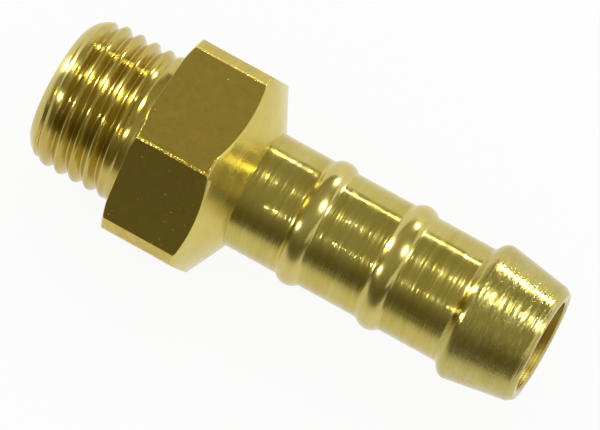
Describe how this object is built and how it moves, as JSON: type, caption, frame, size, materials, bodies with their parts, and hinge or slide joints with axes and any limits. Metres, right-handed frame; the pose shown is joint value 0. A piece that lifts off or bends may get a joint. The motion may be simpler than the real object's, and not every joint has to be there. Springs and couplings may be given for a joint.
{
  "type": "hose barb tail",
  "caption": "Brass hose barb tail: a male pipe thread, a wrench hexagon with a sloped shoulder, and a hollow ribbed shank that grips a push-on hose.",
  "frame": {"origin": "on the bore axis, in the flat face of the hexagon that seats against the port", "axes": "+X along the bore towards the hose end, -X towards the threaded end, one flat of the hexagon faces +Z and one faces -Z"},
  "size_m": [0.044, 0.0188, 0.017],
  "materials": {
    "brass": "bright turned brass with fine turning marks"
  },
  "bodies": {
    "root": {"hose_tail": "brass"}
  },
  "joints": []
}
